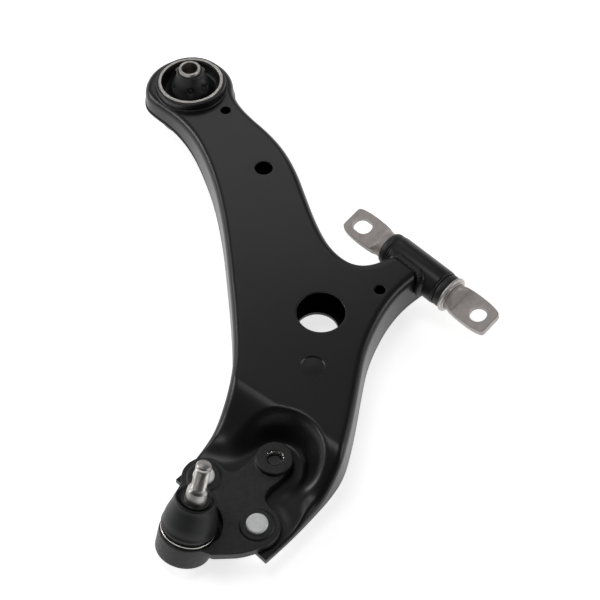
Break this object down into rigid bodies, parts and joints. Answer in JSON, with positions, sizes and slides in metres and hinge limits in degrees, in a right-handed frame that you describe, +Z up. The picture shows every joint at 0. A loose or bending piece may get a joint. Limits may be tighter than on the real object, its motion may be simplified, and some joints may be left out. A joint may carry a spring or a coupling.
{
  "type": "suspension control arm",
  "caption": "Stamped box-section front lower control arm with a vertical rear bush, a bolted-shaft front bush and a bolt-on ball joint.",
  "frame": {"origin": "centre of the rear bush's bore, on the arm's pivot line, level with the front bush's axis", "axes": "+Z up along the rear bush bore; the ball joint lies out along -Y; the front bush is towards +X and -Y; the pivot line runs 48.3 degrees below +X in the XY plane"},
  "size_m": [0.3101, 0.5357, 0.0932],
  "materials": {
    "black_paint": "semi-gloss cathodic black paint",
    "black_plate": "thin black coating over pressed steel",
    "cast_black": "black painted forging with a fine grain",
    "plated_steel": "bright cut end",
    "sleeve_steel": "bright, serrated ends",
    "phosphate_steel": "matt phosphate grey",
    "washer_steel": "pressed, slightly bright edge",
    "bright_steel": "ground taper and rolled thread",
    "ring_steel": "bright wire",
    "spring_steel": "blued spring steel",
    "zinc_plate": "bright zinc plate",
    "seat_plastic": "natural acetal",
    "rubber": "moulded bush rubber",
    "boot_rubber": "satin moulded boot rubber"
  },
  "bodies": {
    "arm": {"upper_shell": "black_paint", "lower_shell": "black_paint", "rear_bush_housing": "black_paint", "rear_outer_sleeve": "plated_steel", "rear_rubber": "rubber", "front_bush_tube": "black_paint", "front_outer_sleeves": "black_plate", "front_rubber_rear": "rubber", "front_rubber_front": "rubber", "ball_joint_bracket": "cast_black", "ball_seat": "seat_plastic", "preload_spring": "spring_steel", "housing_cap": "cast_black", "boot_clamp_ring": "ring_steel", "bracket_studs": "zinc_plate", "bracket_nuts": "zinc_plate", "bracket_bolt": "zinc_plate", "bolt_washer": "zinc_plate", "weld_beads": "black_paint"},
    "pivot_shaft": {"front_shaft": "phosphate_steel", "front_washer": "washer_steel"},
    "rear_sleeve": {"rear_inner_sleeve": "sleeve_steel"},
    "boot": {"dust_boot": "boot_rubber"},
    "boot_collar": {"boot_collar_ring": "black_plate"},
    "stud": {"ball_stud": "bright_steel"}
  },
  "joints": [
    {"name": "front_pivot", "type": "hinge", "parent": "arm", "child": "pivot_shaft", "pos_m": [0.20023, -0.22474, 0], "axis": [0.6652, -0.7466, 0], "range_deg": [-16, 16], "stiffness_Nm_per_rad": 4, "deforming": ["front_rubber_rear", "front_rubber_front"]},
    {"name": "rear_pivot", "type": "hinge", "parent": "arm", "child": "rear_sleeve", "pos_m": [0, 0, 0], "axis": [0.6652, -0.7466, 0], "range_deg": [-16, 16], "deforming": ["rear_rubber"]},
    {"name": "ball_swing", "type": "hinge", "parent": "arm", "child": "boot", "pos_m": [-0.00145, -0.46431, -0.01253], "axis": [-0.7804, 0.6252, 0], "range_deg": [-17, 17], "deforming": ["dust_boot"]},
    {"name": "ball_rock", "type": "hinge", "parent": "boot", "child": "boot_collar", "pos_m": [-0.00145, -0.46431, -0.01253], "axis": [0.5768, 0.72, -0.3859], "range_deg": [-17, 17]},
    {"name": "ball_spin", "type": "hinge", "parent": "boot_collar", "child": "stud", "pos_m": [-0.00145, -0.46431, -0.01253], "axis": [0.2413, 0.3012, 0.9225], "continuous": true}
  ],
  "couplings": [
    {"joint": "rear_pivot", "follows": "front_pivot", "ratio": 1}
  ]
}
